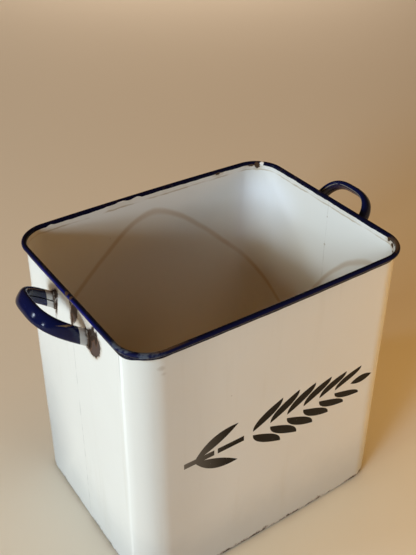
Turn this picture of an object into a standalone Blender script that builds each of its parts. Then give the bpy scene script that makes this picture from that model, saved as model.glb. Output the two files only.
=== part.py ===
"""Open enamelled steel bread bin with two side handles.

Frame: origin at the middle of the footprint on the resting face, +Z up,
+X along the front wall, -Y out through the front wall.  Units are metres.
"""
import math

import bmesh
import bpy
from mathutils import Vector

MM = 0.001
GAP = 0.3 * MM                     # clearance between touching pieces

# Rim: a wire rolled into the outward curl of the wall
RIM_LENGTH = 324.6 * MM            # centreline of the bead, along X
RIM_DEPTH = 248.6 * MM             # centreline of the bead, along Y
CORNER_RADIUS = 33.0 * MM
FRONT_BOW = 1.2 * MM               # the long walls bulge a little at mid length
BACK_BOW = 1.9 * MM
BEAD_RADIUS = 2.7 * MM
HEIGHT = 324.0 * MM
BEAD_Z = HEIGHT - BEAD_RADIUS
LIP_ANGLE = math.radians(-118)     # where the curl ends, under the bead

# Sheet walls: offsets are measured outward from the bead centreline
SHEET = 1.0 * MM                   # steel with its enamel
WALL_TOP_OFFSET = -1.9 * MM        # outer face just under the bead
WALL_BASE_OFFSET = 0.1 * MM        # outer face at the bottom: the walls flare
SHOULDER_Z = BEAD_Z - 2.5 * BEAD_RADIUS
CREST_Z = BEAD_Z - 0.35 * BEAD_RADIUS  # where the outer face meets the bead
TOE_RADIUS = 5.0 * MM              # outer radius of the turned-in bottom edge
LIP_LENGTH = 11.0 * MM             # width of the resting lip

# Wire inside the curl, with a little over one gap because both are faceted
WIRE_RADIUS = BEAD_RADIUS - SHEET - 1.15 * GAP

# Base pan, carried by the resting lip
PAN_FLANGE = 14.0 * MM

# Handles: hollow strap of a flat tube section, bent to a D
HANDLE_SPAN = 71.4 * MM            # between the leg centrelines at the wall
HANDLE_REACH = 50.2 * MM           # from the wall to the bow centreline
HANDLE_SHAPE = 3.1                 # exponent of the bow's superellipse
HANDLE_HALF_WIDTH = 8.05 * MM      # across the strap
HANDLE_HALF_THICKNESS = 3.7 * MM
HANDLE_SECTION = 2.5               # exponent of the section's superellipse
HANDLE_SHEET = 1.0 * MM
HANDLE_ROOT = 12.0 * MM            # extra leg length that the wall plane trims off
HANDLE_SEAM = 1.2 * MM             # open seam along the inside of the bow
SEAM_ANGLE = math.radians(7)       # where the section starts, off its inner middle
HANDLE_Z = 289.0 * MM
LEFT_HANDLE_Y = 3.0 * MM
RIGHT_HANDLE_Y = -2.5 * MM
LEFT_HANDLE_TILT = math.radians(37.3)
RIGHT_HANDLE_TILT = math.radians(45.8)

CORNER_STEPS = 8
BOW_STEPS = 8
TOE_STEPS = 5
INNER_CURL_STEPS = 12
OUTER_CURL_STEPS = 14
PAN_FOOT_STEPS = 4
WIRE_RINGS = 2
HANDLE_STEPS = 28
SECTION_STEPS = 16
WELD_DISTANCE = 0.02 * MM
SHEET_EDGE = math.radians(32)      # faces that meet more sharply than this stay crisp
HANDLE_EDGE = math.radians(40)


def clear_scene():
    for obj in list(bpy.data.objects):
        bpy.data.objects.remove(obj, do_unlink=True)


def new_collection(name):
    coll = bpy.data.collections.new(name)
    bpy.context.scene.collection.children.link(coll)
    return coll


def new_material(name, colour, roughness, metallic=0.0):
    mat = bpy.data.materials.new(name)
    mat.use_nodes = True
    bsdf = mat.node_tree.nodes["Principled BSDF"]
    bsdf.inputs["Base Color"].default_value = (*colour, 1.0)
    bsdf.inputs["Roughness"].default_value = roughness
    bsdf.inputs["Metallic"].default_value = metallic
    mat.diffuse_color = (*colour, 1.0)
    return mat


def corner_points(cx, cy, start):
    """Quarter arc about (cx, cy), counter-clockwise from the start angle."""
    points = []
    for i in range(CORNER_STEPS + 1):
        angle = start + math.pi / 2 * i / CORNER_STEPS
        points.append((cx + CORNER_RADIUS * math.cos(angle), cy + CORNER_RADIUS * math.sin(angle)))
    return points


def long_wall_points(x0, x1, y, bow):
    """Inner points of a long wall whose middle stands out by bow."""
    points = []
    for i in range(1, BOW_STEPS):
        t = i / BOW_STEPS
        points.append((x0 + (x1 - x0) * t, y + bow * 4 * t * (1 - t)))
    return points


def half_outline(side, seam_gap):
    """Bead centreline from end wall to end wall, counter-clockwise seen from above.

    side is -1 for the front half and +1 for the back half.
    """
    hx = RIM_LENGTH / 2
    hy = RIM_DEPTH / 2
    cx = hx - CORNER_RADIUS
    cy = hy - CORNER_RADIUS
    if side < 0:
        first = corner_points(-cx, -cy, math.pi)
        wall = long_wall_points(-cx, cx, -hy, -FRONT_BOW)
        last = corner_points(cx, -cy, -math.pi / 2)
    else:
        first = corner_points(cx, cy, 0.0)
        wall = long_wall_points(cx, -cx, hy, BACK_BOW)
        last = corner_points(-cx, cy, math.pi / 2)
    start = (side * hx, side * seam_gap)
    end = (-side * hx, side * seam_gap)
    return [start] + first + wall + last + [end]


def poly_curve(name, points, cyclic, dimensions="2D"):
    """Curve object with one straight-segment spline through 2D or 3D points."""
    data = bpy.data.curves.new(name, "CURVE")
    data.dimensions = dimensions
    spline = data.splines.new("POLY")
    spline.points.add(len(points) - 1)
    for point, co in zip(spline.points, points):
        point.co = (co[0], co[1], co[2] if len(co) > 2 else 0.0, 1.0)
    spline.use_cyclic_u = cyclic
    return bpy.data.objects.new(name, data)


def sweep(name, path, section, guides):
    """Closed section carried along an open flat path, as a welded mesh object."""
    guide = poly_curve(name + "_section", section, True)
    guide.hide_render = True
    guide.display_type = "WIRE"
    guides.objects.link(guide)
    rail = poly_curve(name + "_rail", path, False)
    rail.data.bevel_mode = "OBJECT"
    rail.data.bevel_object = guide
    rail.data.use_fill_caps = True
    bpy.context.scene.collection.objects.link(rail)
    depsgraph = bpy.context.evaluated_depsgraph_get()
    mesh = bpy.data.meshes.new_from_object(rail.evaluated_get(depsgraph))
    mesh.name = name
    bm = bmesh.new()
    bm.from_mesh(mesh)
    bmesh.ops.remove_doubles(bm, verts=bm.verts, dist=WELD_DISTANCE)
    bmesh.ops.recalc_face_normals(bm, faces=bm.faces)
    bm.to_mesh(mesh)
    bm.free()
    bpy.data.objects.remove(rail, do_unlink=True)
    return bpy.data.objects.new(name, mesh)


def finish(obj, coll, mat, edge_angle=SHEET_EDGE):
    coll.objects.link(obj)
    obj.data.materials.append(mat)
    obj.data.shade_smooth()
    obj.data.set_sharp_from_angle(angle=edge_angle)
    return obj


def arc(cx, cz, radius, start, end, steps):
    points = []
    for i in range(steps + 1):
        angle = start + (end - start) * i / steps
        points.append((cx + radius * math.cos(angle), cz + radius * math.sin(angle)))
    return points


def wall_section():
    """Sheet section of the wall as (outward offset, height) pairs.

    Outer side from the resting lip up and over the bead to the end of the
    curl, then back along the inner side.
    """
    toe = (WALL_BASE_OFFSET - TOE_RADIUS, TOE_RADIUS)
    lip_edge = toe[0] - LIP_LENGTH + TOE_RADIUS
    points = [(lip_edge, 0.0)]
    points += arc(toe[0], toe[1], TOE_RADIUS, -math.pi / 2, 0.0, TOE_STEPS)
    points += [(WALL_TOP_OFFSET, SHOULDER_Z), (SHEET - BEAD_RADIUS, CREST_Z)]
    points += arc(0.0, BEAD_Z, BEAD_RADIUS - SHEET, math.pi, LIP_ANGLE, INNER_CURL_STEPS)
    points += arc(0.0, BEAD_Z, BEAD_RADIUS, LIP_ANGLE, math.pi, OUTER_CURL_STEPS)
    points += [(WALL_TOP_OFFSET - SHEET, SHOULDER_Z)]
    points += arc(toe[0], toe[1], TOE_RADIUS - SHEET, 0.0, -math.pi / 2, TOE_STEPS)
    points += [(lip_edge, SHEET)]
    return points


def build_shell(name, side, coll, guides, mat):
    path = half_outline(side, GAP / 2)
    obj = sweep(name, path, wall_section(), guides)
    return finish(obj, coll, mat)


def build_rim_wire(coll, mat):
    ring = half_outline(-1, 0.0)[1:-1] + half_outline(1, 0.0)[1:-1]
    obj = poly_curve("rim_wire", [(x, y, 0.0) for x, y in ring], True, "3D")
    obj.data.bevel_depth = WIRE_RADIUS
    obj.data.bevel_resolution = WIRE_RINGS
    obj.location.z = BEAD_Z
    obj.data.materials.append(mat)
    coll.objects.link(obj)
    return obj


def build_base_pan(coll, mat):
    """Shallow pressed tray: an open rounded box thickened inward."""
    inset = WALL_BASE_OFFSET - SHEET - GAP
    half = Vector((RIM_LENGTH / 2 + inset, RIM_DEPTH / 2 + inset, PAN_FLANGE / 2))
    mesh = bpy.data.meshes.new("base_pan")
    bm = bmesh.new()
    bmesh.ops.create_cube(bm, size=2.0)
    bmesh.ops.scale(bm, vec=half, verts=bm.verts)
    upright = [e for e in bm.edges if abs(e.verts[0].co.z - e.verts[1].co.z) > half.z]
    bmesh.ops.bevel(bm, geom=upright, offset=CORNER_RADIUS + inset, offset_type="OFFSET",
                    segments=CORNER_STEPS, profile=0.5, affect="EDGES")
    top = [f for f in bm.faces if f.normal.z > 0.9]
    bmesh.ops.delete(bm, geom=top, context="FACES")
    foot = [e for e in bm.edges if all(v.co.z < 0.0 for v in e.verts)]
    bmesh.ops.bevel(bm, geom=foot, offset=TOE_RADIUS - SHEET - GAP, offset_type="OFFSET",
                    segments=PAN_FOOT_STEPS, profile=0.5, affect="EDGES")
    bm.to_mesh(mesh)
    bm.free()
    obj = bpy.data.objects.new("base_pan", mesh)
    obj.location.z = SHEET + GAP + half.z
    finish(obj, coll, mat)
    shell = obj.modifiers.new("sheet", "SOLIDIFY")
    shell.thickness = SHEET
    shell.offset = -1.0
    return obj


def superellipse(half_a, half_b, exponent, angle):
    c = math.cos(angle)
    s = math.sin(angle)
    x = math.copysign(abs(c) ** (2.0 / exponent), c) * half_a
    y = math.copysign(abs(s) ** (2.0 / exponent), s) * half_b
    return x, y


def handle_section():
    """C-shaped strap section, open along the inside of the bow at -X."""
    outer = []
    inner = []
    half_gap = HANDLE_SEAM / 2
    first = -math.pi + SEAM_ANGLE
    for i in range(SECTION_STEPS + 1):
        angle = first - 2 * first * i / SECTION_STEPS
        outer.append(superellipse(HANDLE_HALF_THICKNESS, HANDLE_HALF_WIDTH, HANDLE_SECTION, angle))
        inner.append(superellipse(HANDLE_HALF_THICKNESS - HANDLE_SHEET,
                                  HANDLE_HALF_WIDTH - HANDLE_SHEET, HANDLE_SECTION, angle))
    for ring in (outer, inner):
        ring[0] = (ring[0][0], -half_gap)
        ring[-1] = (ring[-1][0], half_gap)
    return outer + inner[::-1]


def handle_path():
    """Bow centreline in its own plane, with legs that start inside the wall."""
    half_span = HANDLE_SPAN / 2
    points = [(-HANDLE_ROOT, -half_span)]
    for i in range(HANDLE_STEPS + 1):
        angle = -math.pi / 2 + math.pi * i / HANDLE_STEPS
        reach, across = superellipse(HANDLE_REACH, half_span, HANDLE_SHAPE, angle)
        points.append((max(reach, 0.0), across))
    points.append((-HANDLE_ROOT, half_span))
    return points


def wall_slope():
    """Outward lean of the end walls per unit of height, downward."""
    return (WALL_BASE_OFFSET - WALL_TOP_OFFSET) / (SHOULDER_Z - TOE_RADIUS)


def wall_x(z):
    """Outer face of the end wall at height z."""
    return RIM_LENGTH / 2 + WALL_TOP_OFFSET + wall_slope() * (SHOULDER_Z - z)


def build_wall_cutter(name, side, guides):
    """Block whose outer face lies one gap outside the end wall."""
    bpy.ops.mesh.primitive_cube_add(size=1.0)
    block = bpy.context.object
    block.name = name
    for coll in block.users_collection:
        coll.objects.unlink(block)
    guides.objects.link(block)
    size = 2 * HANDLE_SPAN
    lean = math.atan(wall_slope())
    block.dimensions = (size, size, size)
    block.rotation_euler.y = -side * lean
    block.location = (side * (wall_x(HANDLE_Z) + GAP - size / 2 / math.cos(lean)), 0.0, HANDLE_Z)
    block.hide_render = True
    block.display_type = "WIRE"
    return block


def build_handle(name, side, y, tilt, coll, guides, mat):
    obj = sweep(name, handle_path(), handle_section(), guides)
    spin = 0.0 if side > 0 else math.pi
    obj.rotation_euler = (0.0, -tilt, spin)
    obj.location = (side * wall_x(HANDLE_Z), y, HANDLE_Z)
    finish(obj, coll, mat, HANDLE_EDGE)
    trim = obj.modifiers.new("wall", "BOOLEAN")
    trim.operation = "DIFFERENCE"
    trim.solver = "EXACT"
    trim.object = build_wall_cutter(name + "_cutter", side, guides)
    return obj


def build():
    clear_scene()
    bin_parts = new_collection("enamel_bread_bin")
    guides = new_collection("guides")
    cream = new_material("cream_enamel_front", (0.80, 0.76, 0.68), 0.22)
    cream_back = new_material("cream_enamel_back", (0.78, 0.76, 0.71), 0.22)
    grey = new_material("cream_enamel_base", (0.70, 0.68, 0.62), 0.35)
    navy = new_material("navy_enamel_left", (0.010, 0.014, 0.07), 0.15)
    navy_right = new_material("navy_enamel_right", (0.008, 0.010, 0.04), 0.15)
    wire = new_material("rim_wire_steel", (0.35, 0.33, 0.31), 0.5, 0.9)
    build_shell("front_shell", -1, bin_parts, guides, cream)
    build_shell("back_shell", 1, bin_parts, guides, cream_back)
    build_base_pan(bin_parts, grey)
    build_rim_wire(bin_parts, wire)
    build_handle("left_handle", -1, LEFT_HANDLE_Y, LEFT_HANDLE_TILT, bin_parts, guides, navy)
    build_handle("right_handle", 1, RIGHT_HANDLE_Y, RIGHT_HANDLE_TILT, bin_parts, guides, navy_right)


build()
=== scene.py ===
import math

import bmesh
import bpy
import numpy as np
from mathutils import Matrix, Vector


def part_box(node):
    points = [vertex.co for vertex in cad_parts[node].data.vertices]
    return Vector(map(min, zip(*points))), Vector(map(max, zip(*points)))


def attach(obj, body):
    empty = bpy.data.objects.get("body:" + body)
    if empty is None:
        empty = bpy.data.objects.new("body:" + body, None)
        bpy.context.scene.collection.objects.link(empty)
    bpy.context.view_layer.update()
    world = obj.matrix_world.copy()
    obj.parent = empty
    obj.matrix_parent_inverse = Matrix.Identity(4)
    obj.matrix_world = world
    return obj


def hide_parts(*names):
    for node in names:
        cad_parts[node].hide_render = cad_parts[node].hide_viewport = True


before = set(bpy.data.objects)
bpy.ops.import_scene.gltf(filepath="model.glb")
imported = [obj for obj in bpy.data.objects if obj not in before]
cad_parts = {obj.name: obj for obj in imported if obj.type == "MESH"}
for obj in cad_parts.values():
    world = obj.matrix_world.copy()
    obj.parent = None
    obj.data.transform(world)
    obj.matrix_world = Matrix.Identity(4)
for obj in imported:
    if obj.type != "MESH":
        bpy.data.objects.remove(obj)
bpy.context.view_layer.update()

MM = 0.001

# ---------------------------------------------------------------- driving sizes, from the frame
FRONT_LO, FRONT_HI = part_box("front_shell")
BACK_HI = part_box("back_shell")[1]
HEIGHT = FRONT_HI.z
BEAD = 2.7 * MM                              # outer radius of the rolled rim
HALF_X = FRONT_HI.x - BEAD                   # bead centreline
HALF_Y = 124.3 * MM
FRONT_BOW = -FRONT_LO.y - BEAD - HALF_Y
BACK_BOW = BACK_HI.y - BEAD - HALF_Y
CORNER = 33.0 * MM
BEAD_Z = HEIGHT - BEAD
SHEET = 1.0 * MM
TOP_OFFSET = -1.9 * MM                       # outer face of the wall, from the bead centreline
BASE_OFFSET = 0.1 * MM                       # the same at the bottom
TOE = 5.0 * MM                               # outer radius of the turned-in bottom edge
LIP = 11.0 * MM                              # width of the resting lip
SHOULDER_Z = BEAD_Z - 2.5 * BEAD             # top of the straight wall
CREST_Z = BEAD_Z - 0.35 * BEAD               # where the outer face meets the bead
LIP_ANGLE = math.radians(-118)               # where the curl ends, under the bead
LEAN = (BASE_OFFSET - TOP_OFFSET) / (SHOULDER_Z - TOE)

HANDLE_SPAN = 71.4 * MM
HANDLE_REACH = 50.2 * MM
BOW_SHAPE = 3.1
STRAP_HALF_WIDTH = 8.05 * MM
STRAP_HALF_THICKNESS = 3.7 * MM
STRAP_SHAPE = 2.5
STRAP_SHEET = 1.0 * MM
STRAP_SEAM = 1.2 * MM
HANDLE_Z = 289.0 * MM
HANDLE_Y = {-1: 3.0 * MM, 1: -2.5 * MM}
HANDLE_TILT = {-1: math.radians(37.3), 1: math.radians(45.8)}
STRAP_GAP = math.radians(7)                  # where the section starts, off its inner middle
ROOT = 12.0 * MM                             # extra leg, cut off at the wall
WELD_RADIUS = 0.9 * MM
WELD_UNEVEN = 0.25                           # share of that radius
WELD_STANDOFF = 0.5 * MM                     # keeps the weld out of the inside of the sheet

# ---------------------------------------------------------------- mesh fineness
END_STEPS = 12
CORNER_STEPS = 28
WALL_STEPS = 60
TOE_STEPS = 10
INNER_TOE_STEPS = 8
RISE_STEPS = 41
HIDDEN_STEPS = 24
OVER_STEPS = 40
STRAP_POINTS = 57
BOW_SAMPLES = 121
BOW_POINTS = 97
WELD_POINTS = 48
CRISP_ANGLE = math.radians(50)
WAVE_FADE_TOP = 50 * MM
WAVE_FADE_BASE = 30 * MM


# ---------------------------------------------------------------- sheet-metal pieces
def arc(cx, cz, radius, start, end, steps):
    angles = np.linspace(start, end, steps + 1)
    return np.stack([cx + radius * np.cos(angles), cz + radius * np.sin(angles)], axis=1)


def distances(path):
    """Distance of each point from the first, along the path."""
    steps = np.linalg.norm(np.diff(path, axis=0), axis=1)
    return np.concatenate([[0.0], np.cumsum(steps)])


def half_outline(side):
    """Bead centreline of one half with its outward normals, counter-clockwise from above."""
    cx = HALF_X - CORNER
    cy = HALF_Y - CORNER
    bow = FRONT_BOW if side < 0 else BACK_BOW
    run = np.linspace(0.0, 1.0, END_STEPS + 1)[:-1]
    first_end = np.stack([np.full(END_STEPS, HALF_X), cy * run], axis=1)
    turn = arc(cx, cy, CORNER, 0.0, math.pi / 2, CORNER_STEPS)
    t = np.linspace(0.0, 1.0, WALL_STEPS + 1)[1:-1]
    wall = np.stack([cx - 2 * cx * t, HALF_Y + bow * 4 * t * (1 - t)], axis=1)
    far = np.concatenate([first_end, turn])
    points = np.concatenate([far, wall, far[::-1] * (-1, 1)])
    if side < 0:
        points = -points
    ahead = np.roll(points, -1, axis=0)
    behind = np.roll(points, 1, axis=0)
    ahead[-1] = points[-1]
    behind[0] = points[0]
    tangent = ahead - behind
    tangent /= np.linalg.norm(tangent, axis=1)[:, None]
    return points, np.stack([tangent[:, 1], -tangent[:, 0]], axis=1)


def wall_section():
    """Closed section of the sheet as (offset, height), and its distance over the bead.

    The distance is 0 on top of the bead, positive down its outer side, and negative
    down the inside of the wall.  Faces that the bead hides share the value of 1.
    """
    toe_x = BASE_OFFSET - TOE
    lip_x = toe_x - LIP + TOE
    outer = [np.array([[lip_x, 0.0]]), arc(toe_x, TOE, TOE, -math.pi / 2, 0.0, TOE_STEPS)]
    rise = np.linspace(0.0, 1.0, RISE_STEPS + 1)[1:, None]
    outer_foot = np.array([BASE_OFFSET, TOE])
    outer_head = np.array([TOP_OFFSET, SHOULDER_Z])
    outer.append(outer_foot * (1 - rise) + outer_head * rise)
    outer.append(np.array([[SHEET - BEAD, CREST_Z]]))
    hidden = arc(0.0, BEAD_Z, BEAD - SHEET, math.pi, LIP_ANGLE, HIDDEN_STEPS)
    over = arc(0.0, BEAD_Z, BEAD, LIP_ANGLE, math.pi, OVER_STEPS)
    fall = rise[::-1]
    inner_foot = np.array([BASE_OFFSET - SHEET, TOE])
    inner_head = np.array([TOP_OFFSET - SHEET, SHOULDER_Z])
    inner = inner_foot * (1 - fall) + inner_head * fall
    toe_in = arc(toe_x, TOE, TOE - SHEET, 0.0, -math.pi / 2, INNER_TOE_STEPS)
    points = np.concatenate(outer + [hidden, over, inner, toe_in, np.array([[lip_x, SHEET]])])
    n_hidden = sum(len(part) for part in outer) + len(hidden)
    n_over = len(over)
    over_angle = np.linspace(LIP_ANGLE, math.pi, n_over)
    reach = np.ones(len(points))
    reach[n_hidden:n_hidden + n_over] = (math.pi / 2 - over_angle) * BEAD
    below = points[n_hidden + n_over - 1:]
    steps = np.linalg.norm(np.diff(below, axis=0), axis=1)
    reach[n_hidden + n_over:] = -math.pi / 2 * BEAD - np.cumsum(steps)
    return points, reach


def hand_made(points):
    """Slow waviness of pressed sheet, in metres along the outward normal."""
    x, y, z = points[..., 0], points[..., 1], points[..., 2]
    wave = 0.16 * np.sin(21 * x + 9 * z + 0.7) * np.sin(17 * z + 13 * y)
    wave += 0.10 * np.sin(47 * x - 31 * y + 1.9) * np.sin(39 * z + 0.4)
    wave += 0.05 * np.sin(90 * x + 70 * y) * np.sin(83 * z + 2.1)
    fade = np.clip((SHOULDER_Z - z) / WAVE_FADE_TOP, 0, 1) * np.clip(z / WAVE_FADE_BASE, 0, 1)
    return wave * fade * MM


def grid_piece(name, rings, along, reach):
    """Closed solid from rings of points; the rim map holds (along, reach) in metres."""
    n, m = rings.shape[:2]
    mesh = bpy.data.meshes.new(name)
    faces = []
    for i in range(n - 1):
        for j in range(m):
            k = (j + 1) % m
            faces.append((i * m + j, (i + 1) * m + j, (i + 1) * m + k, i * m + k))
    faces.append(tuple(range(m)))
    faces.append(tuple((n - 1) * m + j for j in reversed(range(m))))
    mesh.from_pydata(rings.reshape(-1, 3).tolist(), [], faces)
    layer = mesh.uv_layers.new(name="rim")
    for loop in mesh.loops:
        ring, step = divmod(loop.vertex_index, m)
        layer.data[loop.index].uv = (along[ring], reach[step])
    bm = bmesh.new()
    bm.from_mesh(mesh)
    bmesh.ops.recalc_face_normals(bm, faces=bm.faces)
    bm.to_mesh(mesh)
    bm.free()
    mesh.shade_smooth()
    mesh.set_sharp_from_angle(angle=CRISP_ANGLE)
    obj = bpy.data.objects.new(name, mesh)
    bpy.context.scene.collection.objects.link(obj)
    return obj


def build_wall(name, side, material):
    path, normals = half_outline(side)
    section, reach = wall_section()
    rings = np.zeros((len(path), len(section), 3))
    rings[..., :2] = path[:, None] + normals[:, None] * section[None, :, :1]
    rings[..., 2] = section[None, :, 1]
    wave = hand_made(rings)
    rings[..., :2] += normals[:, None] * wave[..., None]
    obj = grid_piece(name, rings, distances(path), reach)
    obj.data.materials.append(material)
    return obj


# ---------------------------------------------------------------- handles
def superellipse(half_a, half_b, exponent, angle):
    c, s = np.cos(angle), np.sin(angle)
    x = np.sign(c) * np.abs(c) ** (2 / exponent) * half_a
    y = np.sign(s) * np.abs(s) ** (2 / exponent) * half_b
    return np.stack([x, y], axis=-1)


def strap_section():
    """C-shaped section, open along the inside of the bow at -X.

    Its second value is the distance round the outside, 0 in the middle of the outer
    face and positive upwards; the inside of the strap shares the value of 1.
    """
    angles = np.linspace(STRAP_GAP - math.pi, math.pi - STRAP_GAP, STRAP_POINTS)
    outer = superellipse(STRAP_HALF_THICKNESS, STRAP_HALF_WIDTH, STRAP_SHAPE, angles)
    inner_thickness = STRAP_HALF_THICKNESS - STRAP_SHEET
    inner_width = STRAP_HALF_WIDTH - STRAP_SHEET
    inner = superellipse(inner_thickness, inner_width, STRAP_SHAPE, angles)
    for ring in (outer, inner):
        ring[0, 1] = -STRAP_SEAM / 2
        ring[-1, 1] = STRAP_SEAM / 2
    around = distances(outer)
    around -= around[-1] / 2
    return np.concatenate([outer, inner[::-1]]), np.concatenate([around, np.ones(len(inner))])


def bow_path():
    """Bow centreline in its own plane, with legs that start inside the wall."""
    angles = np.linspace(-math.pi / 2, math.pi / 2, BOW_SAMPLES)
    bow = superellipse(HANDLE_REACH, HANDLE_SPAN / 2, BOW_SHAPE, angles)
    bow[:, 0] = np.maximum(bow[:, 0], 0.0)
    dense = distances(bow)
    even = np.linspace(0.0, dense[-1], BOW_POINTS)
    bow = np.stack([np.interp(even, dense, bow[:, k]) for k in (0, 1)], axis=1)
    root = np.array([[-ROOT, 0.0]])
    return np.concatenate([bow[:1] + root, bow, bow[-1:] + root])


def wall_x(z):
    """Distance of an end wall's outer face from the middle, at height z."""
    return HALF_X + TOP_OFFSET + LEAN * (SHOULDER_Z - z)


def end_plane(side):
    """Point and outward normal of an end wall's outer face, at the handle's height."""
    point = Vector((side * wall_x(HANDLE_Z), 0.0, HANDLE_Z))
    return point, Vector((side, 0.0, LEAN)).normalized()


def handle_matrix(side):
    spin = 0.0 if side > 0 else math.pi
    place = Vector((side * wall_x(HANDLE_Z), HANDLE_Y[side], HANDLE_Z))
    turn = Matrix.Rotation(spin, 4, "Z") @ Matrix.Rotation(-HANDLE_TILT[side], 4, "Y")
    return Matrix.Translation(place) @ turn


def build_handle(name, side, material):
    path = bow_path()
    ahead = np.vstack([path[1:], path[-1:]])
    behind = np.vstack([path[:1], path[:-1]])
    tangent = ahead - behind
    tangent /= np.linalg.norm(tangent, axis=1)[:, None]
    outward = np.stack([tangent[:, 1], -tangent[:, 0]], axis=1)
    section, around = strap_section()
    rings = np.zeros((len(path), len(section), 3))
    rings[..., :2] = path[:, None] + outward[:, None] * section[None, :, :1]
    rings[..., 2] = section[None, :, 1]
    obj = grid_piece(name, rings, distances(path), around)
    obj.data.transform(handle_matrix(side))
    trim_at_wall(obj.data, side)
    obj.data.materials.append(material)
    return obj


def trim_at_wall(mesh, side):
    """Cuts the legs off flush with the outer face of the end wall."""
    point, normal = end_plane(side)
    bm = bmesh.new()
    bm.from_mesh(mesh)
    geom = bm.verts[:] + bm.edges[:] + bm.faces[:]
    cut = bmesh.ops.bisect_plane(bm, geom=geom, plane_co=point, plane_no=normal, clear_inner=True)
    rim = [e for e in cut["geom_cut"] if isinstance(e, bmesh.types.BMEdge)]
    bmesh.ops.holes_fill(bm, edges=rim)
    bm.to_mesh(mesh)
    bm.free()


def build_weld(name, side, end, material):
    """Enamelled weld bead round the root of one leg, on the wall."""
    angles = np.linspace(0, 2 * math.pi, WELD_POINTS + 1)[:-1]
    section = superellipse(STRAP_HALF_THICKNESS, STRAP_HALF_WIDTH, STRAP_SHAPE, angles)
    matrix = handle_matrix(side)
    leg = matrix.to_3x3() @ Vector((1, 0, 0))
    point, normal = end_plane(side)
    point += normal * WELD_STANDOFF
    data = bpy.data.curves.new(name, "CURVE")
    data.dimensions = "3D"
    spline = data.splines.new("POLY")
    spline.points.add(len(section) - 1)
    for target, (u, v) in zip(spline.points, section):
        start = matrix @ Vector((0.0, end * (HANDLE_SPAN / 2 + u), v))
        slide = (point - start).dot(normal) / leg.dot(normal)
        co = start + leg * slide
        target.co = (*co, 1.0)
        wave = math.sin(9 * u / MM + 1.3 * v / MM) * math.cos(v / MM)
        target.radius = 1.0 + WELD_UNEVEN * wave
    spline.use_cyclic_u = True
    data.bevel_depth = WELD_RADIUS
    data.bevel_resolution = 3
    curve = bpy.data.objects.new(name, data)
    bpy.context.scene.collection.objects.link(curve)
    graph = bpy.context.evaluated_depsgraph_get()
    mesh = bpy.data.meshes.new_from_object(curve.evaluated_get(graph))
    bpy.data.objects.remove(curve, do_unlink=True)
    obj = bpy.data.objects.new(name, mesh)
    bpy.context.scene.collection.objects.link(obj)
    mesh.shade_smooth()
    mesh.materials.clear()
    mesh.materials.append(material)
    return obj


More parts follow.
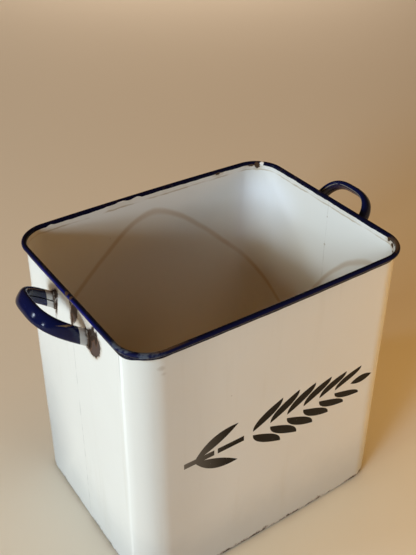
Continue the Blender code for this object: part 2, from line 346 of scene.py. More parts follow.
# ---------------------------------------------------------------- node trees
class Graph:
    """Builds one material's nodes; every method returns an output socket."""

    def __init__(self, name):
        self.material = bpy.data.materials.new(name)
        self.material.use_nodes = True
        self.tree = self.material.node_tree
        self.bsdf = self.tree.nodes["Principled BSDF"]
        coords = self.node("ShaderNodeTexCoord")
        self.place = coords.outputs["Object"]
        axes = self.node("ShaderNodeSeparateXYZ")
        self.put(axes.inputs[0], self.place)
        self.x, self.y, self.z = axes.outputs

    def node(self, kind, **settings):
        node = self.tree.nodes.new(kind)
        for key, value in settings.items():
            setattr(node, key, value)
        return node

    def put(self, socket, value):
        if isinstance(value, bpy.types.NodeSocket):
            self.tree.links.new(value, socket)
        else:
            socket.default_value = value

    def math(self, operation, a, b=0.0):
        node = self.node("ShaderNodeMath", operation=operation)
        self.put(node.inputs[0], a)
        self.put(node.inputs[1], b)
        return node.outputs[0]

    def add(self, a, b):
        return self.math("ADD", a, b)

    def sub(self, a, b):
        return self.math("SUBTRACT", a, b)

    def mul(self, *factors):
        total = factors[0]
        for factor in factors[1:]:
            total = self.math("MULTIPLY", total, factor)
        return total

    def size(self, value):
        return self.math("ABSOLUTE", value)

    def ramp(self, value, zero, one):
        """Smooth step: 0 at zero, 1 at one, whichever is the larger."""
        node = self.node("ShaderNodeMapRange", interpolation_type="SMOOTHSTEP")
        low, high = min(zero, one), max(zero, one)
        self.put(node.inputs["Value"], value)
        self.put(node.inputs["From Min"], low)
        self.put(node.inputs["From Max"], high)
        self.put(node.inputs["To Min"], 0.0 if zero < one else 1.0)
        self.put(node.inputs["To Max"], 1.0 if zero < one else 0.0)
        return node.outputs["Result"]

    def band(self, value, centre, half, soft):
        """1 within half of centre, fading over soft."""
        return self.ramp(self.size(self.sub(value, centre)), half + soft, half)

    def jitter(self, width, scale, detail, rough):
        """Noise about zero, width from end to end."""
        return self.mul(self.sub(self.noise(scale, detail, rough), 0.5), width)

    def noise(self, scale, detail, rough, stretch=None):
        node = self.node("ShaderNodeTexNoise")
        source = self.place
        if stretch is not None:
            source = self.vector("MULTIPLY", source, stretch)
        self.put(node.inputs["Vector"], source)
        self.put(node.inputs["Scale"], scale)
        self.put(node.inputs["Detail"], detail)
        self.put(node.inputs["Roughness"], rough)
        return node.outputs["Fac"]

    def vector(self, operation, a, b):
        node = self.node("ShaderNodeVectorMath", operation=operation)
        self.put(node.inputs[0], a)
        self.put(node.inputs[1], b)
        return node.outputs["Vector"]

    def mix(self, fac, a, b):
        node = self.node("ShaderNodeMix", data_type="RGBA")
        self.put(node.inputs["Factor"], fac)
        for socket, value in ((node.inputs[6], a), (node.inputs[7], b)):
            self.put(socket, value if isinstance(value, bpy.types.NodeSocket) else (*value, 1.0))
        return node.outputs[2]

    def tint(self, colour, other, mask, strength=1.0):
        """Colour moved towards other, by mask times strength."""
        return self.mix(self.mul(mask, strength), colour, other)

    def blob(self, centre, radii, slant=0.0):
        """Distance in metres to an ellipsoid's surface, roughly; negative inside.

        slant leans its top towards -Y, in degrees.
        """
        turn = self.node("ShaderNodeVectorRotate", rotation_type="X_AXIS")
        self.put(turn.inputs["Vector"], self.place)
        self.put(turn.inputs["Center"], centre)
        self.put(turn.inputs["Angle"], -math.radians(slant))
        away = self.vector("SUBTRACT", turn.outputs["Vector"], centre)
        scaled = self.vector("DIVIDE", away, radii)
        node = self.node("ShaderNodeVectorMath", operation="LENGTH")
        self.put(node.inputs[0], scaled)
        return self.mul(self.sub(node.outputs["Value"], 1.0), min(radii))

    def spot(self, centre, radii, wobble, soft):
        """1 inside an uneven ellipsoid, fading over soft."""
        uneven = self.jitter(2 * wobble, 210, 4, 0.65)
        return self.ramp(self.add(self.blob(centre, radii), uneven), soft, -soft)

    def nearest(self, fields):
        total = fields[0]
        for field in fields[1:]:
            total = self.math("MINIMUM", total, field)
        return total

    def rim_map(self):
        """The two values of the rim map, in metres."""
        node = self.node("ShaderNodeUVMap", uv_map="rim")
        split = self.node("ShaderNodeSeparateXYZ")
        self.put(split.inputs[0], node.outputs[0])
        return split.outputs[0], split.outputs[1]

    def bump(self, height, distance):
        node = self.node("ShaderNodeBump")
        self.put(node.inputs["Height"], height)
        self.put(node.inputs["Distance"], distance)
        self.put(node.inputs["Strength"], 1.0)
        self.put(self.bsdf.inputs["Normal"], node.outputs[0])

    def finish(self, colour, roughness):
        self.put(self.bsdf.inputs["Base Color"], colour)
        self.put(self.bsdf.inputs["Roughness"], roughness)
        return self.material


# ---------------------------------------------------------------- colours
NAVY = (0.0020, 0.0042, 0.030)
LIGHT_NAVY = (0.0028, 0.0058, 0.050)
DEEP_NAVY = (0.0028, 0.0036, 0.019)
SIDE_NAVY = (0.0035, 0.0055, 0.040)
# painted highlight on the outer side of the left rim
PAINTED_BLUE_HIGHLIGHT = (0.005, 0.007, 0.125)
SCRATCH = (0.05, 0.055, 0.10)
# steel-grey rub at the near left rim corner: worn enamel, and painted highlights
STEEL_RUB_AND_HIGHLIGHT = (0.070, 0.085, 0.118)
EDGE_METAL = (0.26, 0.23, 0.19)
BROWN_METAL = (0.045, 0.030, 0.019)
BROWN_RUB = (0.085, 0.055, 0.032)
BARE = (0.064, 0.041, 0.035)
PALE_METAL = (0.108, 0.076, 0.066)
CHIP_LIGHT = (0.110, 0.062, 0.034)
CHIP_DARK = (0.035, 0.021, 0.014)
NICK_DARK = (0.03, 0.02, 0.014)
NICK_LIGHT = (0.30, 0.22, 0.12)
RUST = (0.150, 0.062, 0.024)
SOOT = (0.030, 0.018, 0.013)
SINGED = (0.20, 0.13, 0.075)
BURNT = (0.060, 0.038, 0.026)
HALO = (0.46, 0.33, 0.20)
STENCIL = (0.007, 0.0045, 0.003)
PIN_HOLE = (0.16, 0.11, 0.07)
DIRT = (0.30, 0.19, 0.10)
RIM_DIRT = (0.38, 0.27, 0.14)
RIM_SHADE = (0.52, 0.42, 0.26)
INNER_LINE_BROWN = (0.42, 0.25, 0.10)
# brown for real stains on the base pan, and for painted shade inside below the thin line
STAIN_AND_SHADE_BROWN = (0.42, 0.31, 0.21)
# painted shade low inside, deeper towards the left
PAINTED_SHADE_BROWN = (0.34, 0.26, 0.15)
STREAK = (0.55, 0.50, 0.40)
# painted shade beside the near left corner
PAINTED_CORNER_SHADE = (0.50, 0.46, 0.41)
# painted shade and dark reflection low on the outside walls
PAINTED_LOW_SHADE = (0.34, 0.37, 0.40)
# painted highlight down the near left corner
PAINTED_HIGHLIGHT_WHITE = (0.90, 0.90, 0.88)
# painted shade in a thin line beside that highlight
PAINTED_CREASE_SHADE = (0.30, 0.29, 0.28)
LEFT_SEAM = (0.36, 0.36, 0.35)
RIGHT_SEAM = (0.36, 0.33, 0.28)
WHITE = (0.80, 0.79, 0.765)
# painted sheen in the back right corner inside
PAINTED_SHEEN_WHITE = (0.86, 0.88, 0.93)
DULL_WHITE = (0.765, 0.755, 0.725)
COLLAR_WHITE = (0.62, 0.61, 0.58)
COLLAR_GREY = (0.42, 0.41, 0.40)
WELD_BROWN = (0.12, 0.07, 0.045)
WELD_PALE = (0.42, 0.38, 0.33)
WIRE_LIGHT = (0.32, 0.29, 0.27)
WIRE_DARK = (0.20, 0.15, 0.12)
WORLD_COLOUR = (0.08, 0.05, 0.03)
FLOOR_COLOUR = (0.82, 0.785, 0.685)

# ---------------------------------------------------------------- other surface values
BODY_SPECULAR = 0.14                         # low, so that the pale floor keeps out of the dark parts
STRAP_SPECULAR = 0.28
WIRE_METALLIC = 0.9
PIN_HOLE_SCALE = 52.0
FLOOR_ROUGHNESS = 0.8

# ---------------------------------------------------------------- places of marks
LEFT_FACE = -160.6 * MM                      # outer face of the left wall at the handle
# where the painted highlight runs down the near left corner
CORNER_HIGHLIGHT_Y = -97.0 * MM
STRAP_LENGTH = 170.2 * MM                    # along the path, both extra legs included
COLLAR = 8.5 * MM                            # white end of each leg, measured from the wall
NICK_ALONG = 130.0 * MM
NICK_AROUND = 6.6 * MM
WORN_EDGE = 12.2 * MM                        # from the middle of the strap's outer face
MARK_DEPTH = 12                              # in millimetres, through the left wall

# Marks on the left wall: y, z, half sizes across and up in millimetres, slant in degrees.
BARE_MARKS = (
    (-47.0, 288.3, 8.6, 14.5, 37),
    (-7.6, 301.5, 5.0, 12.5, 26),
)
BURNT_MARKS = (
    (-1.2, 286.7, 1.5, 6.5, 14),
    (-1.4, 313.0, 2.2, 6.0, -11),
    (-40.5, 297.5, 5.4, 14.0, 51),
    (-45.3, 306.4, 1.8, 6.0, 36),
    (-51.5, 300.0, 2.2, 7.0, 8),
    (-35.5, 286.0, 4.8, 10.0, 17),
    (36.0, 298.0, 4.6, 9.5, 51),
    (33.5, 285.0, 1.5, 9.0, 15),
)
FLARE = (-49.5, 276.8, 1.2, 3.0, 45)
CREAM = (-25.7, 302.5, 8.0, 18.0, 53)
SCORCH = (37.0, 304.0, 5.5, 14.0, 57)

# Marks as ellipsoids: centre, then half sizes or one size, in millimetres.
RIM_CHIPS = (
    ((147.4, 115.8, 320), (3.0, 4, 3.8)),
    ((140, 118.5, 320.0), (4.0, 3, 1.4)),
    ((94.5, 122.5, 320.5), (3.0, 3, 1.4)),
    ((158.5, -96, 320), (3, 3.0, 2.4)),
    ((157, -104, 317), (3.0, 3.0, 2.4)),
    ((155, -108, 312), (2.5, 2.0, 2.0)),
    ((-164, -3, 323), (2.5, 2.5, 1.6)),
    ((-164, -12, 323), (2.5, 1.6, 1.4)),
    ((-145, -123, 316.5), (8, 5, 1.3)),
)
RIM_FLAKES = (
    ((152, 112.5, 322.3), 2.5),
    ((155, 107.4, 317.5), 1.6),
    ((-162, -4, 322), 0.9),
    ((-162, 8, 322), 0.6),
)
RIM_RUBS = (((-126, -122, 321), (16, 7, 7)), ((153, -113, 321), (15, 15, 7)))
SMUDGES = (((-134, -125, 303), 3.0), ((-132, -125, 296), 1.8))
SEAM_DOTS = (((159, -1.5, 264), 1.4), ((159, -1.5, 301), 1.0))

# ---------------------------------------------------------------- thin brown curved line inside
BACK_FACE = 121.9 * MM                       # inner faces of the back and the right wall
RIGHT_FACE = 159.0 * MM
INNER_LINE_BACK_X = 3.0 * MM                       # high point on the back wall
INNER_LINE_BACK_Z = 338.0 * MM                     # its height, before the rounding takes some off
INNER_LINE_ROUNDING = 40.0 * MM
INNER_LINE_RIGHT_Y = -90.0 * MM                    # high point on the right wall
INNER_LINE_RIGHT_Z = 279.0 * MM
INNER_LINE_TILT = 0.6                              # fall for each metre away from those walls

# ---------------------------------------------------------------- stencilled ear of wheat
EAR_CENTRE = (9.5 * MM, 169.0 * MM)
EAR_PITCH = 22.0 * MM
EAR_ANGLE = math.radians(37.0)
BLADE_ANGLE = math.radians(27)
BLADE_START = 117 * MM                       # left of the ear's centre
INK_EDGE = 0.12 * MM
GRAIN = (27, 23, 6.0)                        # leaf shapes: centre, half length, half width in millimetres
TIP = (108, 16, 5.0)
BLADE = (34, 29, 6.4)


# ---------------------------------------------------------------- materials
def mm(*values):
    return tuple(value * MM for value in values)


def mottled(g):
    """White enamel, slightly uneven, with a few pin holes."""
    colour = g.mix(g.noise(9, 4, 0.6), WHITE, DULL_WHITE)
    cells = g.node("ShaderNodeTexVoronoi", feature="F1")
    g.put(cells.inputs["Vector"], g.place)
    g.put(cells.inputs["Scale"], PIN_HOLE_SCALE)
    picked = g.mul(g.ramp(g.noise(31, 2, 0.5), 0.64, 0.68), g.ramp(g.x, 140 * MM, 120 * MM))
    hole = g.mul(g.ramp(cells.outputs["Distance"], 0.050, 0.022), picked)
    return g.tint(colour, PIN_HOLE, hole, 0.45)


def chip(g, colour, field, wobble):
    """Chipped enamel: bare metal with a black edge, some rust and a faint brown halo."""
    edge = g.add(field, g.jitter(2 * wobble, 330, 4, 0.65))
    bare = g.ramp(edge, 0.2 * MM, -0.2 * MM)
    black = g.ramp(edge, 1.7 * MM, 0.5 * MM)
    patchy = g.ramp(g.noise(150, 3, 0.6), 0.38, 0.62)
    rust = g.mul(g.ramp(edge, 3.4 * MM, 1.0 * MM), patchy)
    metal = g.mix(g.noise(700, 3, 0.7), BARE, PALE_METAL)
    colour = g.tint(colour, HALO, g.ramp(edge, 6 * MM, 0.5 * MM), 0.28)
    colour = g.tint(colour, RUST, rust, 0.9)
    colour = g.tint(colour, SOOT, black, 0.9)
    return g.mix(bare, colour, metal), black


def leaf(g, a, b, centre, half_length, half_width):
    """Leaf-shaped field along a, in metres: negative inside."""
    along = g.math("DIVIDE", g.sub(a, centre * MM), half_length * MM)
    width = g.mul(g.sub(1.0, g.mul(along, along)), half_width * MM)
    return g.sub(g.size(b), width)


def ear_grains(g, u, w):
    """Slanting pairs of grains, smaller towards the tip."""
    taper = g.sub(1.0, g.mul(g.ramp(u, 10 * MM, 135 * MM), 0.42))
    up = g.math("DIVIDE", w, taper)
    slant = g.sub(u, g.mul(up, 1.0 / math.tan(EAR_ANGLE)))
    cell = g.node("ShaderNodeMath", operation="WRAP")
    g.put(cell.inputs[0], slant)
    g.put(cell.inputs[1], EAR_PITCH / 2)
    g.put(cell.inputs[2], -EAR_PITCH / 2)
    across = g.mul(cell.outputs[0], math.sin(EAR_ANGLE))
    grain = leaf(g, g.mul(up, 1.0 / math.sin(EAR_ANGLE)), across, *GRAIN)
    first = g.ramp(slant, -55.2 * MM, -54.8 * MM)
    last = g.ramp(slant, 77.2 * MM, 76.8 * MM)
    return g.mul(g.ramp(grain, INK_EDGE, -INK_EDGE), first, last)


def ear_blades(g, u, w):
    """Two leaves that leave the stem, as one mirrored field."""
    cosine, sine = math.cos(BLADE_ANGLE), math.sin(BLADE_ANGLE)
    from_start = g.add(u, BLADE_START)
    a = g.add(g.mul(from_start, cosine), g.mul(w, sine))
    b = g.sub(g.mul(w, cosine), g.mul(from_start, sine))
    bend = g.math("DIVIDE", g.sub(a, 30 * MM), 30 * MM)
    return leaf(g, a, g.add(b, g.mul(bend, bend, 3.0 * MM)), *BLADE)


def wheat_ear(g):
    """Stencil of a lying ear of wheat on the front wall, 1 where the paint is."""
    u = g.sub(g.x, EAR_CENTRE[0])
    v = g.sub(g.z, EAR_CENTRE[1])
    w = g.size(v)
    ink = ear_grains(g, u, w)
    stem = g.sub(w, 3.4 * MM)
    gap = g.sub(2.0 * MM, g.size(g.add(u, 86 * MM)))
    for limit in (g.sub(-123 * MM, u), g.sub(u, -52 * MM), gap):
        stem = g.math("MAXIMUM", stem, limit)
    for field in (leaf(g, u, v, *TIP), stem, ear_blades(g, u, w)):
        ink = g.math("MAXIMUM", ink, g.ramp(field, INK_EDGE, -INK_EDGE))
    worn = g.ramp(g.noise(260, 4, 0.7), 0.68, 0.76)
    return g.mul(ink, g.sub(1.0, g.mul(worn, 0.6)))


def front_details(g, colour, outside):
    """Stencil, two brown smudges and painted shade beside the near left corner."""
    front = g.ramp(g.y, -116 * MM, -119 * MM)
    colour = g.tint(colour, STENCIL, g.mul(wheat_ear(g), front), outside)
    for centre, size in SMUDGES:
        smudge = g.spot(mm(*centre), mm(size, 9, size * 0.7), 2.0 * MM, 1.6 * MM)
        colour = g.tint(colour, DIRT, smudge, 0.35)
    # painted shade: the near left part of the front wall darker
    painted_shade = g.mul(g.ramp(g.x, -55 * MM, -125 * MM), g.ramp(g.y, CORNER_HIGHLIGHT_Y, -108 * MM))
    return g.tint(colour, PAINTED_CORNER_SHADE, g.mul(painted_shade, outside), 0.30)


def corner_highlight(g, colour, outside):
    """Painted highlight down the near left corner, with a thin line of painted shade beside it."""
    left = g.ramp(g.x, -140 * MM, -150 * MM)
    uneven = g.jitter(3.0 * MM, 30, 3, 0.6)
    # painted highlight: a pale vertical line where the corner starts to turn
    highlight = g.mul(g.band(g.add(g.y, uneven), CORNER_HIGHLIGHT_Y, 0.9 * MM, 1.8 * MM), left)
    highlight = g.mul(highlight, g.add(0.35, g.mul(g.ramp(g.z, 120 * MM, 260 * MM), 0.45)))
    colour = g.tint(colour, PAINTED_HIGHLIGHT_WHITE, highlight, outside)
    # painted shade: a thin dark line beside the highlight
    crease_shade = g.band(g.y, CORNER_HIGHLIGHT_Y + 2.6 * MM, 0.2 * MM, 0.6 * MM)
    crease_shade = g.mul(crease_shade, g.ramp(g.z, 262 * MM, 305 * MM), left, outside)
    return g.tint(colour, PAINTED_CREASE_SHADE, crease_shade, 0.45)


def left_end(g):
    """1 on the left end wall."""
    return g.ramp(g.x, -150 * MM, -155 * MM)


def end_seams(g, colour):
    """The vertical joint of the two sheets, seen as a thin grey line on both ends."""
    y = g.add(g.y, g.jitter(3.0 * MM, 25, 3, 0.6))
    left = g.mul(g.band(y, 1.2 * MM, 0.25 * MM, 0.5 * MM), left_end(g))
    right = g.mul(g.band(y, -1.5 * MM, 0.3 * MM, 0.7 * MM), g.ramp(g.x, 150 * MM, 155 * MM))
    broken = g.ramp(g.noise(50, 3, 0.6), 0.38, 0.62)
    colour = g.tint(colour, LEFT_SEAM, g.mul(left, broken), 0.55)
    colour = g.tint(colour, RIGHT_SEAM, g.mul(right, broken), 0.26)
    for centre, size in SEAM_DOTS:
        dot = g.spot(mm(*centre), mm(6, size, size), 0.6 * MM, 0.4 * MM)
        colour = g.tint(colour, DIRT, dot, 0.4)
    return colour


def inner_line_height(g):
    """Height of the thin brown line: it dips away from two high points."""
    away = g.sub(g.x, INNER_LINE_BACK_X)
    round_top = g.math("SQRT", g.add(g.mul(away, away), INNER_LINE_ROUNDING ** 2))
    back = g.sub(INNER_LINE_BACK_Z, g.mul(round_top, 1.05))
    back = g.sub(back, g.mul(g.sub(BACK_FACE, g.y), INNER_LINE_TILT))
    away = g.sub(g.y, INNER_LINE_RIGHT_Y)
    right = g.sub(INNER_LINE_RIGHT_Z, g.mul(away, away, 8.5))
    right = g.sub(right, g.mul(g.sub(RIGHT_FACE, g.x), INNER_LINE_TILT))
    return g.add(g.math("MAXIMUM", back, right), g.jitter(7 * MM, 18, 3, 0.5))


def inner_line_shade_and_sheen(g, colour, inside):
    """Thin brown line, painted shade below it and low down towards the left, and a painted sheen in the
    back right corner.
    """
    above = g.sub(g.z, inner_line_height(g))
    line = g.ramp(g.size(above), 6.5 * MM, 0.8 * MM)
    # painted shade: browner enamel just below the line and further down
    below = g.mul(g.ramp(above, 1 * MM, -3 * MM), g.ramp(above, -30 * MM, -2 * MM))
    below = g.mul(g.add(g.mul(below, 0.7), g.ramp(above, 3 * MM, -30 * MM)), 0.09)
    colour = g.tint(colour, STAIN_AND_SHADE_BROWN, below, inside)
    colour = g.tint(colour, INNER_LINE_BROWN, g.mul(line, inside), 0.40)
    # painted shade, deeper low down and towards the left
    left_shade = g.mul(g.ramp(g.x, 60 * MM, -60 * MM), 0.55)
    deep_shade = g.mul(g.ramp(g.z, 240 * MM, 90 * MM), g.add(0.04, left_shade))
    colour = g.tint(colour, PAINTED_SHADE_BROWN, deep_shade, inside)
    # painted sheen: lighter, bluer enamel in the back right corner, in place of a reflection
    sheen = g.mul(g.ramp(g.x, 105 * MM, 150 * MM), g.ramp(g.y, 30 * MM, 100 * MM))
    sheen = g.mul(sheen, g.ramp(g.z, 170 * MM, 230 * MM), g.ramp(g.z, 325 * MM, 285 * MM))
    return g.tint(colour, PAINTED_SHEEN_WHITE, sheen, inside)


def rim_dirt(g, colour, reach):
    """Broken line of dirt, and a faint shade, caught inside below the rim."""
    wavy = g.jitter(4.5 * MM, 40, 4, 0.65)
    dirt = g.band(g.add(reach, wavy), -10.5 * MM, 0.4 * MM, 0.8 * MM)
    patchy = g.ramp(g.noise(22, 3, 0.6), 0.36, 0.62)
    colour = g.tint(colour, RIM_DIRT, g.mul(dirt, patchy), 0.6)
    shade = g.mul(g.band(reach, -7.0 * MM, 1.5 * MM, 3.0 * MM), 0.18)
    return g.tint(colour, RIM_SHADE, shade, patchy)


def outer_grime_and_shade(g, colour, outside):
    """Painted grey-blue shade and dark reflection low on the outside, reaching higher at the far left
    end; streaks; and a rusty, chipped bottom edge.
    """
    height = g.add(g.z, g.jitter(50 * MM, 16, 4, 0.6))
    # painted shade and dark reflection, fading upwards from the floor and reaching higher at the far left
    # end
    painted_shade = g.mul(g.ramp(height, 105 * MM, 5 * MM), 0.42)
    far_end = g.mul(g.ramp(g.x, -120 * MM, -155 * MM), g.ramp(g.y, 10 * MM, 110 * MM))
    far_shade = g.mul(far_end, g.ramp(height, 260 * MM, 40 * MM), 0.72)
    painted_shade = g.math("MAXIMUM", painted_shade, far_shade)
    colour = g.tint(colour, PAINTED_LOW_SHADE, painted_shade, outside)
    streaks = g.ramp(g.noise(20, 4, 0.65, stretch=(3.0, 3.0, 0.25)), 0.52, 0.80)
    colour = g.tint(colour, STREAK, g.mul(streaks, outside), 0.16)
    edge = g.add(g.z, g.mul(g.sub(g.noise(90, 5, 0.7), 0.62), 22 * MM))
    chipped = g.mul(g.ramp(edge, 1.5 * MM, 0.5 * MM), outside)
    rusty = g.mul(g.ramp(edge, 4.0 * MM, 1.0 * MM), outside)
    colour = g.tint(colour, RUST, rusty, 0.55)
    return g.tint(colour, BROWN_METAL, chipped, 0.85), chipped


def end_marks(g, *rows):
    """Field of the nearest of some slanting marks on the left wall."""
    fields = []
    for y, z, across, up, slant in rows:
        fields.append(g.blob((LEFT_FACE, y * MM, z * MM), mm(MARK_DEPTH, across, up), slant))
    return g.nearest(fields)


def end_wall_chips(g, colour, outside):
    """Bare patches by the roots of the left handle and at the seam above them."""
    clean = colour
    uneven = g.jitter(4.5 * MM, 230, 4, 0.65)
    warm = g.ramp(g.add(end_marks(g, CREAM, SCORCH), uneven), 5 * MM, -3 * MM)
    colour = g.tint(colour, HALO, warm, 0.42)
    singed = g.ramp(g.add(end_marks(g, SCORCH, FLARE), uneven), 1.8 * MM, -2.0 * MM)
    colour = g.tint(colour, SINGED, singed, 0.7)
    colour, black = chip(g, colour, end_marks(g, *BARE_MARKS), 1.5 * MM)
    burnt = g.add(end_marks(g, *BURNT_MARKS), uneven)
    colour = g.tint(colour, RUST, g.ramp(burnt, 2.4 * MM, 0.2 * MM), 0.6)
    colour = g.mix(g.ramp(burnt, 1.0 * MM, -0.2 * MM), colour, SOOT)
    left = g.mul(outside, left_end(g))
    return g.mix(left, clean, colour), g.mul(black, left)


def rim_cover(g, reach):
    """1 where the navy enamel lies: over the bead and a little way down the wall."""
    wavy = g.jitter(2.6 * MM, 60, 4, 0.65)
    lobes = g.mul(g.ramp(g.noise(26, 2, 0.5), 0.60, 0.75), -2.2 * MM)
    inner = g.ramp(g.add(reach, g.add(wavy, lobes)), -5.4 * MM, -5.0 * MM)
    lowest = g.add(311.4 * MM, g.mul(g.ramp(g.x, -160 * MM, -150 * MM), 2.8 * MM))
    below = g.sub(g.add(g.z, g.mul(wavy, 0.4)), lowest)
    under = g.mul(g.ramp(reach, 0.5, 0.9), g.ramp(below, -0.3 * MM, 0.3 * MM))
    return g.math("MAXIMUM", g.mul(inner, g.ramp(reach, 0.5, 0.3)), under)


def rim_navy(g, reach):
    """Colour of the rim, with a painted blue highlight on the left, rubbed at two corners, and its steel
    rub that also carries painted highlights.
    """
    # painted highlight: the left rim's outer side lighter and bluer
    left = g.mul(g.ramp(g.x, -157 * MM, -160 * MM), g.ramp(g.y, -75 * MM, -45 * MM))
    left = g.mul(left, g.ramp(g.y, 80 * MM, 40 * MM), g.ramp(reach, 1.4 * MM, 3.4 * MM))
    side = g.band(reach, 3.0 * MM, 1.0 * MM, 1.5 * MM)
    navy = g.mix(left, g.mix(side, DEEP_NAVY, SIDE_NAVY), PAINTED_BLUE_HIGHLIGHT)
    scuffed = g.ramp(g.noise(75, 4, 0.7), 0.56, 0.72)
    scuffed = g.mul(scuffed, g.ramp(reach, 2.6 * MM, 1.0 * MM))
    navy = g.tint(navy, BROWN_METAL, scuffed, 0.6)
    # steel-grey rub at the near left corner: worn enamel, and painted highlights
    rub_and_highlight = g.spot(mm(-153, -110, 322), mm(22, 22, 7), 5 * MM, 3 * MM)
    navy = g.tint(navy, STEEL_RUB_AND_HIGHLIGHT, rub_and_highlight, g.ramp(g.noise(120, 3, 0.6), 0.40, 0.56))
    top_side = g.ramp(reach, 2.5 * MM, 0.5 * MM)
    for centre, radii in RIM_RUBS:
        brown = g.mul(g.spot(mm(*centre), mm(*radii), 4 * MM, 3 * MM), top_side)
        navy = g.tint(navy, BROWN_RUB, brown, 0.9)
    return navy, rub_and_highlight


def rim_chips(g, colour, bead):
    """Brown chips through the enamel at and just below the bead, and small white flakes."""
    field = g.nearest([g.blob(mm(*centre), mm(*radii)) for centre, radii in RIM_CHIPS])
    field = g.add(field, g.jitter(4.0 * MM, 300, 4, 0.65))
    chipped = g.ramp(field, 0.5 * MM, -0.4 * MM)
    halo = g.mul(g.ramp(field, 4 * MM, 0.4 * MM), g.sub(1.0, bead))
    colour = g.tint(colour, HALO, halo, 0.4)
    colour = g.mix(chipped, colour, g.mix(g.noise(500, 3, 0.7), CHIP_LIGHT, CHIP_DARK))
    for centre, size in RIM_FLAKES:
        flake = g.spot(mm(*centre), mm(size, size, size), 1.0 * MM, 0.4 * MM)
        colour = g.mix(flake, colour, WHITE)
    return colour, chipped


def enamel_body():
    """White enamel of the walls, with the navy rim, wear, stains, stencil, and painted shade and
    highlights.
    """
    g = Graph("cream_enamel")
    g.bsdf.inputs["Specular IOR Level"].default_value = BODY_SPECULAR
    reach = g.rim_map()[1]
    outside = g.ramp(reach, 0.5, 0.9)
    inside = g.ramp(reach, -3.5 * MM, -5.0 * MM)
    colour = inner_line_shade_and_sheen(g, mottled(g), inside)
    colour = rim_dirt(g, colour, reach)
    colour, edge_chips = outer_grime_and_shade(g, colour, outside)
    colour = end_seams(g, colour)
    colour = front_details(g, colour, outside)
    colour = corner_highlight(g, colour, outside)
    colour, wall_chips = end_wall_chips(g, colour, outside)
    bead = rim_cover(g, reach)
    navy, rub_and_highlight = rim_navy(g, reach)
    colour = g.mix(bead, colour, navy)
    colour, chipped = rim_chips(g, colour, bead)
    bare = g.math("MAXIMUM", g.math("MAXIMUM", wall_chips, chipped), edge_chips)
    roughness = g.add(0.13, g.mul(g.noise(30, 3, 0.6), 0.14))
    rubbed = g.math("MAXIMUM", bare, g.mul(rub_and_highlight, bead, 0.4))
    roughness = g.add(roughness, g.mul(rubbed, 0.45))
    relief = g.add(g.mul(g.noise(24, 2, 0.5), 0.30), g.mul(g.noise(210, 2, 0.5), 0.035))
    g.bump(g.sub(relief, g.mul(bare, 0.75)), 0.35 * MM)
    return g.finish(colour, roughness)


def enamel_plain():
    """The same white enamel for the base pan, which has no rim: stained and rusty."""
    g = Graph("cream_enamel_plain")
    worn = g.ramp(g.noise(45, 5, 0.7), 0.54, 0.66)
    colour = g.tint(mottled(g), STAIN_AND_SHADE_BROWN, g.ramp(g.noise(12, 4, 0.6), 0.40, 0.75), 0.35)
    colour = g.tint(colour, RUST, worn, 0.45)
    colour = g.mix(g.ramp(g.noise(60, 5, 0.7), 0.66, 0.70), colour, BROWN_METAL)
    g.bump(g.sub(g.mul(g.noise(30, 3, 0.5), 0.4), g.mul(worn, 0.5)), 0.3 * MM)
    return g.finish(colour, g.add(0.2, g.mul(worn, 0.5)))


def weld_enamel():
    """Burnt, brown-black enamel on the weld at each handle root."""
    g = Graph("weld_enamel")
    colour = g.mix(g.noise(400, 3, 0.6), SOOT, WELD_BROWN)
    colour = g.tint(colour, WELD_PALE, g.ramp(g.noise(260, 3, 0.6), 0.50, 0.62), 0.8)
    g.bump(g.noise(500, 3, 0.6), 0.3 * MM)
    return g.finish(colour, g.add(0.35, g.mul(g.noise(150, 2, 0.5), 0.4)))


def strap_wear(g, colour, along, around):
    """Rubbed edges, fine scratches and one slanting nick on a strap."""
    middle = g.size(g.sub(along, STRAP_LENGTH / 2))
    worn = g.band(around, WORN_EDGE, 0.25 * MM, 0.5 * MM)
    worn = g.mul(worn, g.ramp(g.noise(60, 4, 0.65), 0.36, 0.50))
    worn = g.mul(worn, g.ramp(middle, 62 * MM, 45 * MM))
    colour = g.tint(colour, EDGE_METAL, worn, 0.75)
    scratches = g.noise(150, 3, 0.6, stretch=(0.5, 6.0, 1.0))
    colour = g.tint(colour, SCRATCH, g.ramp(scratches, 0.68, 0.72), 0.35)
    from_nick = g.sub(along, NICK_ALONG)
    field = g.size(g.sub(g.sub(around, NICK_AROUND), g.mul(from_nick, 0.43)))
    field = g.add(field, g.mul(g.size(from_nick), 0.14))
    nick = g.ramp(g.add(field, g.mul(g.noise(300, 4, 0.65), 2 * MM)), 2.5 * MM, 1.9 * MM)
    return g.mix(nick, colour, g.mix(g.noise(350, 2, 0.5), NICK_DARK, NICK_LIGHT))


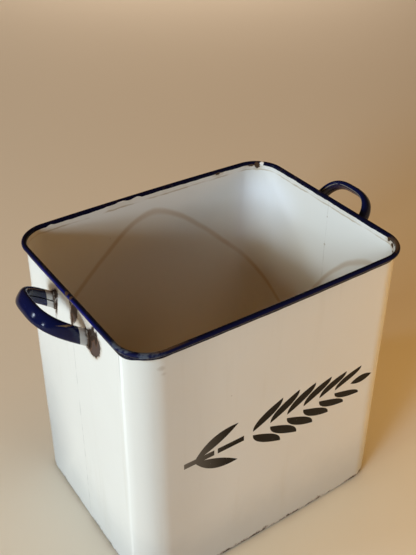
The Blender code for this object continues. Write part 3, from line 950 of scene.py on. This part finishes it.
def enamel_navy():
    """Navy enamel of the handles, white and then burnt at the roots."""
    g = Graph("navy_enamel")
    g.bsdf.inputs["Specular IOR Level"].default_value = STRAP_SPECULAR
    along, around = g.rim_map()
    colour = g.mix(g.noise(45, 3, 0.6), NAVY, LIGHT_NAVY)
    colour = strap_wear(g, colour, along, around)
    proud = g.sub(g.size(g.x), -LEFT_FACE)
    wavy = g.jitter(0.8 * MM, 120, 3, 0.6)
    collar = g.ramp(g.add(proud, wavy), COLLAR + 0.15 * MM, COLLAR - 0.15 * MM)
    colour = g.mix(collar, colour, g.mix(g.noise(90, 4, 0.6), COLLAR_WHITE, COLLAR_GREY))
    burnt = g.add(proud, g.jitter(5 * MM, 230, 4, 0.65))
    burnt = g.ramp(burnt, 3.6 * MM, 1.2 * MM)
    colour = g.tint(colour, BURNT, burnt, 0.9)
    g.bump(g.add(g.mul(g.noise(60, 2, 0.5), 0.5), g.mul(collar, -0.3)), 0.25 * MM)
    roughness = g.add(0.10, g.mul(g.noise(80, 3, 0.6), 0.12))
    return g.finish(colour, g.add(roughness, g.mul(burnt, 0.4)))


def wire_steel():
    """Dull rusty wire inside the bead."""
    g = Graph("rim_wire_steel")
    g.bsdf.inputs["Metallic"].default_value = WIRE_METALLIC
    colour = g.mix(g.noise(300, 3, 0.6), WIRE_LIGHT, WIRE_DARK)
    return g.finish(colour, g.ramp(g.noise(500, 2, 0.5), 0.2, 0.9))


# ---------------------------------------------------------------- stage, lights and camera
FLOOR_HALF_SIZE = 14.0
LIGHT_CENTRE = Vector((0.0, 0.0, 0.25))
WINDOW_SIZE = (0.9, 0.8)
PANE_SIZE = (0.50, 0.42)
PANE_POWER = (15, 17.5, 20.5)

# name, azimuth, elevation, distance, size, power in red, green and blue, seen in reflections
LIGHTS = (
    ("window_low", 20, 14, 4.0, WINDOW_SIZE, (63, 79, 90), False),
    ("window_high", 4, 21, 4.0, WINDOW_SIZE, (35, 36, 29), False),
    ("top", 90, 88, 4.0, (3.0, 3.0), (42, 18.4, 1), False),
    ("fill", 142, 5, 0.95, (0.5, 0.5), (2.8, 1.65, 0.5), False),
    ("back_fill", -122, 8, 2.6, (1.6, 1.0), (9, 7.4, 6), False),
    ("pane_left", -20, 18, 4.0, PANE_SIZE, PANE_POWER, True),
    ("pane_right", 29, 8, 4.0, PANE_SIZE, PANE_POWER, True),
)

LENS = 52.05
SENSOR_WIDTH = 36.0
CAMERA_AT = Vector((-0.39765, -0.57542, 0.75763))
CAMERA_TARGET = Vector((-0.00262, 0.0, 0.2781))
CAMERA_ROLL = math.radians(0.5)


def build_floor():
    half = FLOOR_HALF_SIZE
    mesh = bpy.data.meshes.new("floor")
    corners = [(-half, -half, 0), (half, -half, 0), (half, half, 0), (-half, half, 0)]
    mesh.from_pydata(corners, [], [(0, 1, 2, 3)])
    floor = bpy.data.objects.new("floor", mesh)
    bpy.context.scene.collection.objects.link(floor)
    mat = bpy.data.materials.new("pale_floor")
    mat.use_nodes = True
    bsdf = mat.node_tree.nodes["Principled BSDF"]
    bsdf.inputs["Base Color"].default_value = (*FLOOR_COLOUR, 1.0)
    bsdf.inputs["Roughness"].default_value = FLOOR_ROUGHNESS
    mesh.materials.append(mat)


def area_light(name, azimuth, elevation, distance, size, power, glossy):
    """Rectangular light aimed at the opening; azimuth is turned from -X towards -Y."""
    a = math.radians(azimuth)
    e = math.radians(elevation)
    away = Vector((-math.cos(a) * math.cos(e), -math.sin(a) * math.cos(e), math.sin(e)))
    data = bpy.data.lights.new(name, "AREA")
    data.shape = "RECTANGLE"
    data.size, data.size_y = size
    data.energy = max(power)
    data.color = [channel / max(power) for channel in power]
    light = bpy.data.objects.new(name, data)
    light.location = LIGHT_CENTRE + away * distance
    light.rotation_euler = (-away).to_track_quat("-Z", "Y").to_euler()
    light.visible_camera = False
    light.visible_glossy = glossy
    bpy.context.scene.collection.objects.link(light)


def build_lights():
    """Dim warm surroundings, two low windows, soft fills, and two small panes for highlights."""
    world = bpy.context.scene.world or bpy.data.worlds.new("studio")
    bpy.context.scene.world = world
    world.use_nodes = True
    background = world.node_tree.nodes["Background"]
    background.inputs["Color"].default_value = (*WORLD_COLOUR, 1.0)
    background.inputs["Strength"].default_value = 1.0
    for row in LIGHTS:
        area_light(*row)


def build_camera():
    data = bpy.data.cameras.new("camera")
    data.lens = LENS
    data.sensor_width = SENSOR_WIDTH
    camera = bpy.data.objects.new("camera", data)
    aim = (CAMERA_TARGET - CAMERA_AT).to_track_quat("-Z", "Y").to_matrix().to_4x4()
    roll = Matrix.Rotation(CAMERA_ROLL, 4, "Z")
    camera.matrix_world = Matrix.Translation(CAMERA_AT) @ aim @ roll
    bpy.context.scene.collection.objects.link(camera)
    bpy.context.scene.camera = camera


# ---------------------------------------------------------------- assembly
def main():
    bpy.context.scene.view_settings.view_transform = "Standard"
    build_camera()
    cream = enamel_body()
    plain = enamel_plain()
    burnt = weld_enamel()
    navy = enamel_navy()
    for name, side, node in (("front_wall", -1, "front_shell"), ("back_wall", 1, "back_shell")):
        wall = build_wall(name, side, cream)
        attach(wall, "root")
        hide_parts(node)
    for word, side in (("left", -1), ("right", 1)):
        strap = build_handle(word + "_strap", side, navy)
        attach(strap, "root")
        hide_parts(word + "_handle")
        for place, end in (("front", -1), ("back", 1)):
            weld = build_weld(f"{word}_{place}_weld", side, end, burnt)
            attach(weld, "root")
    for node, material in (("base_pan", plain), ("rim_wire", wire_steel())):
        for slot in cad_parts[node].material_slots:
            slot.material = material
    build_floor()
    build_lights()


main()
